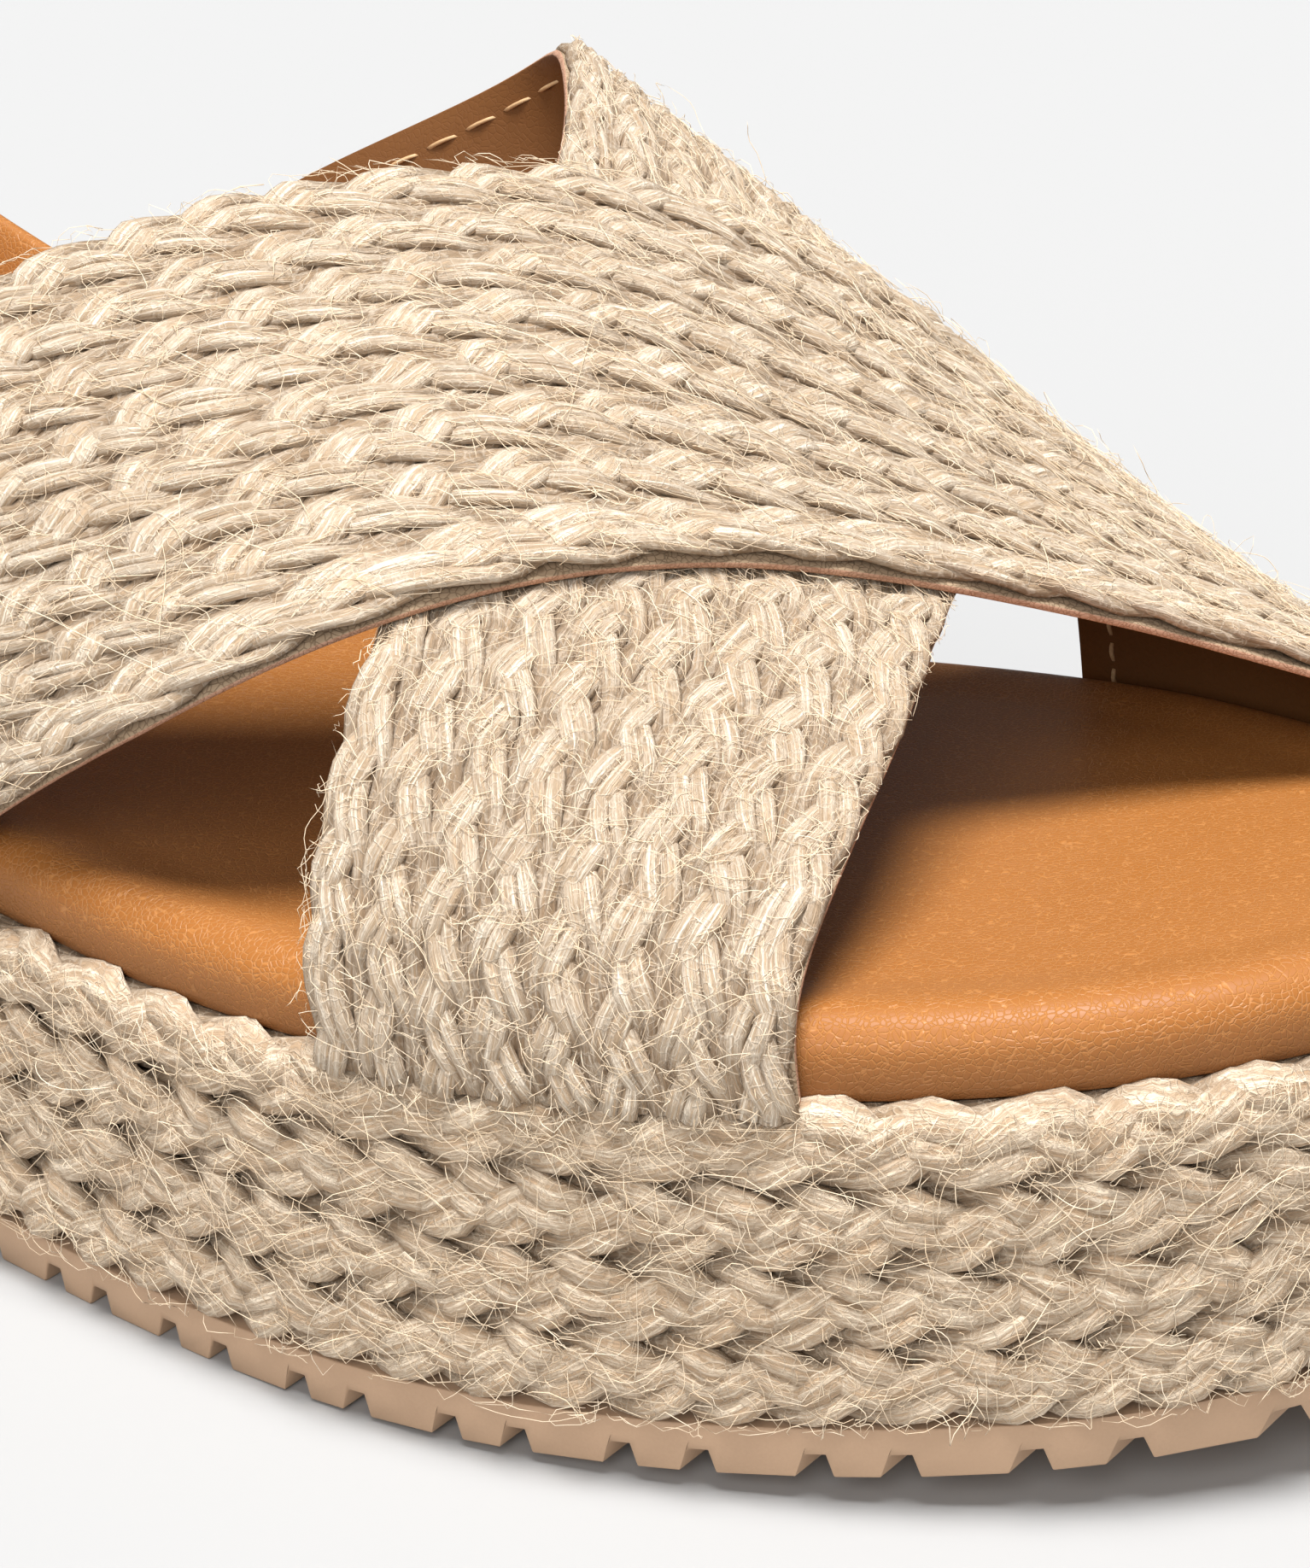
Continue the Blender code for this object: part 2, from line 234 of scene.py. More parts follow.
OUTLINE_SAMPLES = 2001
WIDEST = np.max(side(np.linspace(0, LENGTH, OUTLINE_SAMPLES), "outer"))
SHIFT = np.array([footbed_low[0], footbed_low[1] + WIDEST, 0.0])
print("footbed", round(LENGTH * 1000, 1), "mm long, moved by", SHIFT)

# %% [markdown]
# The sole's outline is drawn once and then grown or shrunk for each layer. Heights are counted
# from the floor: the whole sole rises to the toe, and the platform gets thicker to the heel.

# %% Sole curves


def round_stations(count):
    """Stations along the footbed that crowd together at the heel and the toe."""
    return LENGTH * (1 - np.cos(np.linspace(0, np.pi, count))) / 2


def outline(stations, grow):
    """Closed outline, anticlockwise from the heel, standing grow outside the footbed."""
    outer = np.column_stack([stations, -side(stations, "outer")])
    inner = np.column_stack([stations, side(stations, "inner")])
    ring = np.vstack([outer, inner[-2:0:-1]])
    along = np.roll(ring, -1, axis=0) - np.roll(ring, 1, axis=0)
    along /= np.linalg.norm(along, axis=1)[:, None]
    return ring + grow * np.column_stack([along[:, 1], -along[:, 0]])


def spring(x):
    """Rise of the sole toward the toe."""
    past = np.clip((x - TOE_SPRING_START) / (LENGTH - TOE_SPRING_START), 0, None)
    return TOE_SPRING * past**2


def platform_bottom(x):
    return spring(x) + OUTSOLE_THICKNESS + CLEARANCE


def platform_top(x):
    lift = HEEL_LIFT * np.clip(1 - x / HEEL_LIFT_LENGTH, 0, None)
    return platform_bottom(x) + PLATFORM_HEIGHT + lift


def footbed_bottom(x):
    return platform_top(x) + CLEARANCE


def ring_at(stations, grow, height):
    """One ring of a sole layer in the frame."""
    x = np.concatenate([stations, stations[-2:0:-1]])
    return np.column_stack([outline(stations, grow), height(x)]) + SHIFT


print("platform at the heel", round(platform_top(0) * 1000, 1), "mm above the floor")

# %% [markdown]
# The straps follow the last, which is the form that the shoe is built on. A point on it is found
# from a station along the foot and a share of the way over it. A patch is a grid of such points
# with the direction that faces out at each, so that anything flat can be wrapped onto the strap:
# along it, across it, and at a height above it.

# %% The last and its patches
ARCH_STEPS = 61
STRAP_ROWS = 141
STRAP_COLUMNS = 25
LIFT_FLATNESS = 6


def last_sizes(x, out):
    """Middle, half width, height over the edge and lean of the last, grown by out."""
    share = x / LENGTH
    knots = column(LAST, "length")
    outer = side(x, "outer")
    inner = side(x, "inner")
    crest = INSTEP_HEIGHT * smooth(share, knots, column(LAST, "crest")) + out
    half = (inner + outer) / 2 + FOOT_GAP + out
    return (inner - outer) / 2, half, crest - EDGE_HEIGHT, smooth(share, knots, column(LAST, "lean"))


def last_point(x, over, out):
    """Point on the last at a station and a share of the way over the foot."""
    middle, half, arch, lean = last_sizes(x, out)
    angle = np.concatenate([[0], np.linspace(0, np.pi, ARCH_STEPS), [np.pi]])
    across = -np.cos(angle)
    power = np.where(across < 0, 2 / OUTER_FULLNESS, 2 / INNER_FULLNESS)
    rise = np.clip(np.sin(angle), 0, 1) ** power
    y = middle + half * np.sign(across) * np.abs(across) ** power + lean * arch * rise**2
    z = EDGE_HEIGHT + arch * rise
    z[[0, -1]] = 0
    steps = np.hypot(np.diff(y), np.diff(z))
    walk = np.concatenate([[0], np.cumsum(steps)])
    place = over * walk[-1]
    return np.array([x, np.interp(place, walk, y), footbed_bottom(x) + np.interp(place, walk, z)]) + SHIFT


def patch_of(grid, closed=False):
    """A grid of points with the direction that faces out at each."""
    if closed:
        first = np.roll(grid, -1, axis=0) - np.roll(grid, 1, axis=0)
    else:
        first = np.gradient(grid, axis=0)
    facing = np.cross(first, np.gradient(grid, axis=1))
    facing /= np.linalg.norm(facing, axis=2)[:, :, None]
    if closed:
        grid = np.concatenate([grid, grid[:1]])
        facing = np.concatenate([facing, facing[:1]])
    return grid, facing


def wrap(patch, along, across, height):
    """Points at shares along and across a patch, standing a height above it."""
    grid, facing = patch
    row = np.asarray(along, float) * (grid.shape[0] - 1)
    col = np.asarray(across, float) * (grid.shape[1] - 1)
    i = np.clip(np.floor(row).astype(int), 0, grid.shape[0] - 2)
    j = np.clip(np.floor(col).astype(int), 0, grid.shape[1] - 2)
    p = (row - i)[..., None]
    q = (col - j)[..., None]
    both = []
    for table in (grid, facing):
        low = table[i, j] * (1 - q) + table[i, j + 1] * q
        high = table[i + 1, j] * (1 - q) + table[i + 1, j + 1] * q
        both.append(low * (1 - p) + high * p)
    out = both[1] / np.linalg.norm(both[1], axis=-1)[..., None]
    return both[0] + out * np.asarray(height, float)[..., None]


def strap_patch(rear, front, lift):
    """Lining face of a strap, from its front edge to its rear edge."""
    knots = column(STRAP_EDGES, "over")
    shares = np.linspace(0, 1, STRAP_COLUMNS)
    rows = []
    for over in np.linspace(0, 1, STRAP_ROWS):
        low = LENGTH * smooth(over, knots, column(STRAP_EDGES, rear))
        high = LENGTH * smooth(over, knots, column(STRAP_EDGES, front))
        raised = lift * (1 - (2 * over - 1) ** LIFT_FLATNESS)
        rows.append([last_point(high + (low - high) * share, over, raised) for share in shares])
    return patch_of(np.array(rows))


under_patch = strap_patch("under_rear", "under_front", 0)
over_patch = strap_patch("over_rear", "over_front", OVERSTRAP_LIFT)
print("strap patches of", under_patch[0].shape[:2], "points")

# %% [markdown]
# Every material of the sandal shares a few surface effects, and each effect is a node group that
# is built once. Jute is a bundle of long shiny fibres, so its group stretches noise along the
# strand: fine streaks for the fibres and broader ones for the yarns they are spun into. The
# strands carry their own coordinates in a fibre attribute: the place along, and round, the yarn.

# %% Node helpers and the fibre group


def feed(tree, socket, value):
    """Give a socket a value, or link it to another node's socket."""
    if isinstance(value, bpy.types.NodeSocket):
        tree.links.new(value, socket)
    else:
        socket.default_value = value


def set_node(tree, node, **values):
    """Feed a node's sockets and set its properties by name, with _ for a space."""
    for name, value in values.items():
        label = name.replace("_", " ")
        if label in node.inputs:
            feed(tree, node.inputs[label], value)
        else:
            setattr(node, name, value)
    return node


def add_node(tree, kind, **values):
    """A new node with its values."""
    return set_node(tree, tree.nodes.new("ShaderNode" + kind), **values)


def work_out(tree, kind, operation, *values):
    """Result of a Math or VectorMath node on values and sockets."""
    node = add_node(tree, kind, operation=operation)
    for socket, value in zip(node.inputs, values):
        feed(tree, socket, value)
    return node.outputs[0]


def ramp(tree, value, low, high):
    """Value spread so that low becomes 0 and high becomes 1."""
    return add_node(tree, "MapRange", Value=value, From_Min=low, From_Max=high).outputs[0]


def new_group(name, inputs, outputs):
    """Shader node group with inputs (name: default, None for a vector) and float outputs."""
    group = bpy.data.node_groups.new(name, "ShaderNodeTree")
    for label, value in inputs.items():
        kind = "NodeSocketVector" if value is None else "NodeSocketFloat"
        socket = group.interface.new_socket(label, in_out="INPUT", socket_type=kind)
        if value is not None:
            socket.default_value = value
    for label in outputs:
        group.interface.new_socket(label, in_out="OUTPUT", socket_type="NodeSocketFloat")
    print("group", name)
    return group, group.nodes.new("NodeGroupInput").outputs, group.nodes.new("NodeGroupOutput")


FIBRE_MASK = (0.41, 0.58)
YARN_MASK = (0.34, 0.56)
YARN_RELIEF = 0.9


def fibre_group():
    """Streaks along a strand. Fibre and Yarn are masks and Height feeds a Bump node."""
    inputs = {"Vector": None, "Fibre along": 170.0, "Fibre around": 5.5}
    group, start, end = new_group("jute_fibre", inputs, ("Fibre", "Yarn", "Height"))
    around = start["Fibre around"]
    stretch = add_node(group, "CombineXYZ", X=start["Fibre along"], Y=around, Z=around)
    place = work_out(group, "VectorMath", "MULTIPLY", start["Vector"], stretch.outputs[0])
    fine = add_node(group, "TexNoise", Vector=place, Scale=1.0, Detail=4.0, Roughness=0.75)
    broad = add_node(group, "TexNoise", Vector=place, Scale=0.4, Detail=2.0, Roughness=0.5)
    fibre = ramp(group, fine.outputs["Fac"], *FIBRE_MASK)
    yarn = ramp(group, broad.outputs["Fac"], *YARN_MASK)
    height = work_out(group, "Math", "MULTIPLY_ADD", yarn, YARN_RELIEF, fibre)
    set_node(group, end, Fibre=fibre, Yarn=yarn, Height=height)
    return group


FIBRE = fibre_group()

# %% [markdown]
# Leather has a pebbled grain: rounded cells with fine valleys between them, larger in some places
# than in others. Distances between scattered points give the cells. The same group serves the
# footbed, the lining and the heel strap. Rubber gets flecks and clouds, and jute gets hairs.

# %% Leather, rubber and hair groups
GRAIN_BEND = 0.0016
VALLEY_WIDTH = 0.12
HAIR_SEEDS = (0.0, 7.3, 15.1)


def grain_group():
    """Pebbles of leather. Valley is 1 in the creases, Blotch varies slowly."""
    inputs = {"Scale": 900.0, "Blotch scale": 40.0}
    group, start, end = new_group("leather_grain", inputs, ("Valley", "Blotch", "Height"))
    place = add_node(group, "TexCoord").outputs["Object"]
    bend = add_node(group, "TexNoise", Vector=place, Scale=350.0, Detail=2.0).outputs["Color"]
    bent = work_out(group, "VectorMath", "MULTIPLY_ADD", bend, (GRAIN_BEND, GRAIN_BEND, GRAIN_BEND), place)
    cells = add_node(group, "TexVoronoi", feature="DISTANCE_TO_EDGE", Vector=bent, Scale=start["Scale"])
    valley = ramp(group, cells.outputs["Distance"], VALLEY_WIDTH, 0.0)
    blotch = add_node(group, "TexNoise", Vector=place, Scale=start["Blotch scale"], Detail=4.0, Roughness=0.6)
    height = work_out(group, "Math", "SUBTRACT", 1.0, valley)
    set_node(group, end, Valley=valley, Blotch=blotch.outputs["Fac"], Height=height)
    return group


def speckle_group():
    """Fine flecks and soft clouds of a filled rubber."""
    group, start, end = new_group("rubber_speckle", {"Scale": 4200.0}, ("Fleck", "Cloud", "Height"))
    place = add_node(group, "TexCoord").outputs["Object"]
    fleck = add_node(group, "TexNoise", Vector=place, Scale=start["Scale"], Detail=2.0).outputs["Fac"]
    cloud = add_node(group, "TexNoise", Vector=place, Scale=130.0, Detail=5.0, Roughness=0.65).outputs["Fac"]
    set_node(group, end, Fleck=fleck, Cloud=cloud, Height=fleck)
    return group


def hair_group():
    """Curly hairs lying on a surface: thin lines where a noise crosses its middle value."""
    group, start, end = new_group("fine_hair", {"Scale": 420.0, "Thin": 0.018}, ("Hair",))
    place = add_node(group, "TexCoord").outputs["Object"]
    total = 0.0
    for seed in HAIR_SEEDS:
        noise = add_node(group, "TexNoise", noise_dimensions="4D", W=seed, Detail=1.5)
        set_node(group, noise, Vector=place, Scale=start["Scale"])
        away = work_out(group, "Math", "SUBTRACT", noise.outputs["Fac"], 0.5)
        line = ramp(group, work_out(group, "Math", "ABSOLUTE", away), start["Thin"], 0.0)
        total = work_out(group, "Math", "MAXIMUM", total, line)
    set_node(group, end, Hair=total)
    return group


GRAIN = grain_group()
SPECKLE = speckle_group()
HAIR = hair_group()

# %% [markdown]
# Each material mixes its colours by the masks of a group, and the group's height drives a bump. Jute is pale
# and silky where the light runs along its fibres, and it turns to straw and brown between them. A tone on
# every strand, kept in the mesh, makes some yarns darker than others at random, and it also paints shade onto
# the low parts of each plait, between the strands.

# %% Materials
JUTE_BUMP = 0.7
HAIR_SHARE = 0.4
LEATHER_RELIEF = 0.00015
RUBBER_BUMP = 0.25
RUBBER_RELIEF = 0.0001
# Dark brown of the painted shade on the footbed's lowest edge.
EDGE_SHADE_COLOUR = (0.20, 0.085, 0.032)
JUTES = [
    ("name", "pale", "straw", "shade", "relief"),
    ("strap_jute", (0.94, 0.82, 0.665), (0.55, 0.395, 0.255), (0.29, 0.185, 0.105), 0.00016),
    ("sole_jute", (0.93, 0.78, 0.60), (0.55, 0.385, 0.245), (0.20, 0.125, 0.07), 0.0002),
    ("loose_jute", (0.95, 0.83, 0.65), (0.84, 0.67, 0.47), (0.60, 0.42, 0.25), 0.00001),
]
LEATHERS = [
    ("name", "light", "dark", "vein", "roughness", "scale", "bump"),
    # The rope backing is a darker jute brown: painted shade for the gaps between the plaits.
    ("rope_backing", (0.45, 0.33, 0.22), (0.34, 0.24, 0.15), (0.22, 0.15, 0.09), 0.9, 1800, 0.4),
    ("footbed_leather", (0.38, 0.145, 0.034), (0.315, 0.112, 0.025), (0.47, 0.20, 0.06), 0.4, 2000, 0.45),
    ("lining_leather", (0.18, 0.07, 0.018), (0.12, 0.044, 0.011), (0.15, 0.056, 0.014), 0.6, 1600, 0.2),
    ("cut_leather", (0.55, 0.33, 0.23), (0.45, 0.25, 0.16), (0.38, 0.20, 0.12), 0.85, 2600, 0.5),
]
RUBBER_COLOURS = ((0.50, 0.33, 0.21), (0.42, 0.27, 0.17))
THREAD_COLOURS = ((0.45, 0.25, 0.10), (0.75, 0.50, 0.28))
THREAD_FLECKS = 2500


def new_material(name, **finish):
    """Material with its node tree and its Principled BSDF, which takes the finish."""
    material = bpy.data.materials.new(name)
    material.use_nodes = True
    tree = material.node_tree
    return material, tree, set_node(tree, tree.nodes["Principled BSDF"], **finish)


def mix_colour(tree, mask, low, high):
    """Colour between low and high, which are colours or sockets, by a mask socket."""
    mix = add_node(tree, "Mix", data_type="RGBA")
    for place, value in ((0, mask), (6, low), (7, high)):
        feed(tree, mix.inputs[place], (*value, 1) if isinstance(value, tuple) else value)
    return mix.outputs[2]


def add_bump(tree, principled, height, strength, distance):
    """Relief from a height socket, as deep as a distance."""
    bump = add_node(tree, "Bump", Height=height, Strength=strength, Distance=distance)
    set_node(tree, principled, Normal=bump.outputs["Normal"])


def jute_material(name, pale, straw, shade, relief):
    """Jute: fibres between two colours, a third as painted shade deep between the strands, and hairs over
    all.
    """
    material, tree, principled = new_material(
        name,
        Roughness=0.55,
        Sheen_Weight=0.12,
        Sheen_Roughness=0.35,
        Sheen_Tint=(1.0, 0.86, 0.68, 1.0),
        Specular_IOR_Level=0.3,
    )
    strand = add_node(tree, "Attribute", attribute_name="fibre").outputs["Vector"]
    tone_and_shade = add_node(tree, "Attribute", attribute_name="tone_and_shade").outputs["Fac"]
    streaks = add_node(tree, "Group", node_tree=FIBRE, Vector=strand).outputs
    hair = add_node(tree, "Group", node_tree=HAIR).outputs["Hair"]
    fibres = mix_colour(tree, streaks["Fibre"], straw, pale)
    yarns = mix_colour(tree, streaks["Yarn"], straw, fibres)
    # The shade colour comes in by the strand's tone: painted shade low in the plait, times a random tone for
    # each yarn.
    deep = mix_colour(tree, tone_and_shade, shade, yarns)
    faint = work_out(tree, "Math", "MULTIPLY", hair, HAIR_SHARE)
    set_node(tree, principled, Base_Color=mix_colour(tree, faint, deep, pale))
    height = work_out(tree, "Math", "ADD", streaks["Height"], hair)
    add_bump(tree, principled, height, JUTE_BUMP, relief)
    return material


def leather_material(name, light, dark, vein, roughness, scale, bump):
    """Leather: pebbles with veins, and a painted shade of dark brown where an attribute marks the lowest edge
    of the footbed.
    """
    material, tree, principled = new_material(name, Roughness=roughness, Specular_IOR_Level=0.25)
    pebbles = add_node(tree, "Group", node_tree=GRAIN, Scale=scale).outputs
    blotch = mix_colour(tree, pebbles["Blotch"], dark, light)
    grain = mix_colour(tree, pebbles["Valley"], blotch, vein)
    # Painted shade: an attribute on the footbed mixes in dark brown near its lowest edge.
    edge_shade = add_node(tree, "Attribute", attribute_name="edge_shade").outputs["Fac"]
    set_node(tree, principled, Base_Color=mix_colour(tree, edge_shade, grain, EDGE_SHADE_COLOUR))
    add_bump(tree, principled, pebbles["Height"], bump, LEATHER_RELIEF)
    return material


def rubber_material(name, light, dark):
    """Matt rubber with clouds of two tones and light flecks."""
    material, tree, principled = new_material(name, Roughness=0.75)
    specks = add_node(tree, "Group", node_tree=SPECKLE).outputs
    cloud = mix_colour(tree, specks["Cloud"], dark, light)
    set_node(tree, principled, Base_Color=mix_colour(tree, specks["Fleck"], cloud, light))
    add_bump(tree, principled, specks["Height"], RUBBER_BUMP, RUBBER_RELIEF)
    return material


def thread_material(name, dark, light):
    """Waxed thread, flecked by its twist."""
    material, tree, principled = new_material(name, Roughness=0.6)
    specks = add_node(tree, "Group", node_tree=SPECKLE, Scale=THREAD_FLECKS).outputs
    set_node(tree, principled, Base_Color=mix_colour(tree, specks["Fleck"], dark, light))
    return material


STRAP_JUTE, SOLE_JUTE, LOOSE_JUTE = [jute_material(*row) for row in JUTES[1:]]
BACKING, FOOTBED_LEATHER, LINING_LEATHER, CUT_LEATHER = [leather_material(*row) for row in LEATHERS[1:]]
RUBBER = rubber_material("outsole_rubber", *RUBBER_COLOURS)
THREAD = thread_material("stitch_thread", *THREAD_COLOURS)
print("materials ready")

# %% [markdown]
# The outsole is one rubber moulding with bars of long and short lugs. Its solid already has the
# right form, so it is copied, its loose triangles are merged, and a small bevel gives the lugs
# the soft edges that a mould leaves.

# %% Outsole
LUG_EDGE = 0.00035
SHARP = np.radians(35)
FLAT = np.radians(1.0)
MERGE_DISTANCE = 0.00001


def finish_piece(piece, node, slot, *materials):
    """Give a piece its materials, hang it on the root body, hide its solid and say what it became; slot is
    not used.
    """
    for material in materials:
        piece.data.materials.append(material)
    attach(piece, "root")
    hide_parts(node)
    triangles = sum(len(face.vertices) - 2 for face in piece.data.polygons)
    print(piece.name, triangles, "triangles")


def pick(piece):
    """Make a piece the active object and the only selected one."""
    deselect()
    bpy.context.view_layer.objects.active = piece
    piece.select_set(True)


def open_mesh(piece):
    """Start editing a piece with all of it selected."""
    pick(piece)
    bpy.ops.object.mode_set(mode="EDIT")
    bpy.ops.mesh.select_all(action="SELECT")


def open_copy(node, name):
    """Copy of a solid, open for editing, with its loose triangles merged and no material."""
    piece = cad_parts[node].copy()
    piece.data = piece.data.copy()
    piece.name = name
    piece.data.materials.clear()
    bpy.context.collection.objects.link(piece)
    open_mesh(piece)
    bpy.ops.mesh.remove_doubles(threshold=MERGE_DISTANCE)
    return piece


def apply_modifier(piece, kind, **values):
    """Add a modifier with its values and apply it."""
    pick(piece)
    modifier = piece.modifiers.new(kind.lower(), kind)
    for name, value in values.items():
        setattr(modifier, name, value)
    bpy.ops.object.modifier_apply(modifier=modifier.name)


outsole = open_copy("outsole", "outsole_rubber")
bpy.ops.mesh.dissolve_limited(angle_limit=FLAT)
bpy.ops.object.mode_set(mode="OBJECT")
apply_modifier(outsole, "BEVEL", width=LUG_EDGE, segments=2, limit_method="ANGLE", angle_limit=SHARP)
pick(outsole)
bpy.ops.object.shade_smooth_by_angle(angle=SHARP)
finish_piece(outsole, "outsole", "outsole_rubber", RUBBER)

# %% [markdown]
# Under the rope the platform is a plain block of cork or foam. It hardly shows, but the gaps
# between the plaits need something brown behind them. Rings of the outline, one above the other,
# are joined by faces, and strips from side to side close the top and the bottom.

# %% Platform core
CORE_INSET = 0.0012
CORE_DROP = 0.0006
CORE_STATIONS = 80


def mesh_piece(name, points, faces):
    """Smooth-shaded object from points and faces."""
    mesh = bpy.data.meshes.new(name)
    mesh.from_pydata(np.asarray(points).tolist(), [], faces)
    mesh.shade_smooth()
    piece = bpy.data.objects.new(name, mesh)
    bpy.context.collection.objects.link(piece)
    return piece


def keep_in_mesh(piece, name, values):
    """Keep a number or a vector at each corner of a piece, for its material to read."""
    kind, field = ("FLOAT", "value") if np.ndim(values) == 1 else ("FLOAT_VECTOR", "vector")
    layer = piece.data.attributes.new(name, kind, "POINT")
    layer.data.foreach_set(field, np.asarray(values, np.float32).ravel())


def cap_faces(first, count):
    """Strips that close a ring of the sole from its outer side to its inner side."""
    half = count // 2 + 1
    outer = [first + i for i in range(half)]
    inner = [first] + [first + count - i for i in range(1, half)]
    inner[-1] = outer[-1]
    faces = [(outer[0], outer[1], inner[1])]
    faces += [(outer[i], outer[i + 1], inner[i + 1], inner[i]) for i in range(1, half - 2)]
    faces.append((outer[half - 2], outer[half - 1], inner[half - 2]))
    return faces


def sole_layer(name, stations, levels):
    """Closed layer of the sole from (grow, height rule) levels, lowest first."""
    rings = [ring_at(stations, grow, height) for grow, height in levels]
    count = len(rings[0])
    faces = [tuple(reversed(face)) for face in cap_faces(0, count)]
    for level in range(len(rings) - 1):
        low = level * count
        for i in range(count):
            j = (i + 1) % count
            faces.append((low + i, low + j, low + count + j, low + count + i))
    faces += cap_faces((len(rings) - 1) * count, count)
    return mesh_piece(name, np.vstack(rings), faces)


core = sole_layer(
    "platform_core",
    round_stations(CORE_STATIONS),
    [(-CORE_INSET, platform_bottom), (-CORE_INSET, lambda x: platform_top(x) - CORE_DROP)],
)
finish_piece(core, "midsole", "sole_rope", CUT_LEATHER)

# %% [markdown]
# The footbed is foam under thin leather that is pulled round its edge, so the edge is a soft roll and the
# middle sinks a little where the foot stands. The rings of the outline climb the side, turn in over a quarter
# circle and run down into the dish. The lowest few millimetres of the edge are painted darker: painted shade
# where the edge meets the rope.

# %% Footbed


def footbed_at(up):
    """Height rule at a distance above the footbed's underside."""
    return lambda x: footbed_bottom(x) + up


EDGE_SHADE_FROM = 0.0010
EDGE_SHADE_FADE = 0.0040
EDGE_SHADE_SHARE = 0.65
FOOTBED_STATIONS = 150
ROLL_RINGS = 10
DISH_RINGS = 7
DISH_START = 0.15
FOOTBED_TUCK = [
    ("grow", "up"),
    (-0.0012, 0.0),
    (-0.0003, 0.0004),
    (0.0, 0.0013),
]
footbed_levels = [(grow, footbed_at(up)) for grow, up in FOOTBED_TUCK[1:]]
for angle in np.radians(np.linspace(0, 90, ROLL_RINGS)):
    grow = -FOOTBED_EDGE_RADIUS * (1 - np.cos(angle))
    up = FOOTBED_THICKNESS - FOOTBED_EDGE_RADIUS * (1 - np.sin(angle))
    footbed_levels.append((grow, footbed_at(up)))
for share in np.linspace(DISH_START, 1, DISH_RINGS):
    grow = -FOOTBED_EDGE_RADIUS - (DISH_INSET - FOOTBED_EDGE_RADIUS) * share
    sink = FOOTBED_DISH * (3 * share**2 - 2 * share**3)
    footbed_levels.append((grow, footbed_at(FOOTBED_THICKNESS - sink)))
footbed = sole_layer("footbed", round_stations(FOOTBED_STATIONS), footbed_levels)
points = np.array([vertex.co for vertex in footbed.data.vertices])
above = points[:, 2] - footbed_bottom(points[:, 0] - SHIFT[0])
# Painted shade: the lowest few millimetres of the footbed's edge are darkened, fading out upward.
keep_in_mesh(footbed, "edge_shade", EDGE_SHADE_SHARE * np.clip(1 - (above - EDGE_SHADE_FROM) / EDGE_SHADE_FADE, 0, 1))
finish_piece(footbed, "insole", "footbed_leather", FOOTBED_LEATHER)

# %% [markdown]
# A plait has three strands. Each swings from side to side and goes up and down twice as often, a
# third of a turn after the one before, and so passes over and under its neighbours. It swings in
# nearly straight runs with sharp turns, rises late and dips where it turns back, which makes the
# lobes on top long. Every strand is two yarns side by side, with a dark line between them, and a
# thin filler yarn closes the gap to the next plait. Nothing made of jute is even, so slow waves
# change each measure by a share of it, over a length. The plait is worked out straight, as rings
# round each yarn, and then wrapped onto a patch. Many yarns are wanted, so they are joined meshes
# made from arrays.

# %% Plaiting
SIDES = 7
CORNER = 0.10
LATE = 0.4
FILLER = 0.0008
FILLER_DEPTH = -0.55
LEAST_LIGHT = 0.84
CREST_TONE = 1.15
NOISE_SPAN = 3.0
WAVES = (0.6, 1.0, 1.7)
UNEVEN = {
    "slip": (0.22, 0.022),
    "swing": (0.08, 0.014),
    "size": (0.10, 0.008),
    "apart": (0.15, 0.011),
    "height": (0.10, 0.012),
    "edge": (0.05, 0.005),
}


def wobble(share, cycles, random):
    """Slow wave between about -1 and 1 that closes on itself after a whole share."""
    total = np.zeros_like(share)
    for part in WAVES:
        count = max(1, round(cycles * part))
        total += np.sin(2 * np.pi * (count * share + random.random())) / 2
    return total


def tube_faces(first, rings, sides, closed):
    """Faces round a tube that starts at a corner, with both ends closed if it is open."""
    steps = rings if closed else rings - 1
    ring = first + sides * np.arange(steps)[:, None]
    after = first + sides * ((np.arange(steps)[:, None] + 1) % rings)
    spot = np.arange(sides)[None, :]
    beside = (spot + 1) % sides
    quads = np.stack([ring + spot, ring + beside, after + beside, after + spot], axis=-1)
    faces = quads.reshape(-1, 4).tolist()
    if not closed:
        last = first + sides * (rings - 1)
        faces.append([first + sides - 1 - i for i in range(sides)])
        faces.append([last + i for i in range(sides)])
    return faces


class Strands:
    """Collects yarns, with what the material needs to know of each corner."""

    def __init__(self):
        self.points, self.faces, self.fibre, self.tone_and_shade = [], [], [], []
        self.count = 0

    def add(self, rings, closed, fibre, tone_and_shade):
        """One yarn from rings of corners (rings, sides, 3)."""
        count, sides = rings.shape[:2]
        self.faces += tube_faces(self.count, count, sides, closed)
        self.points.append(rings.reshape(-1, 3))
        self.fibre.append(fibre.reshape(-1, 3))
        self.tone_and_shade.append(tone_and_shade.reshape(-1))
        self.count += count * sides

    def piece(self, name):
        """All the yarns as one object."""
        piece = mesh_piece(name, np.vstack(self.points), self.faces)
        keep_in_mesh(piece, "fibre", np.vstack(self.fibre))
        keep_in_mesh(piece, "tone_and_shade", np.concatenate(self.tone_and_shade))
        return piece


def slope(values, step, closed):
    """Rate of change along a line that may close on itself."""
    if closed:
        return (np.roll(values, -1) - np.roll(values, 1)) / (2 * step)
    return np.gradient(values, step)


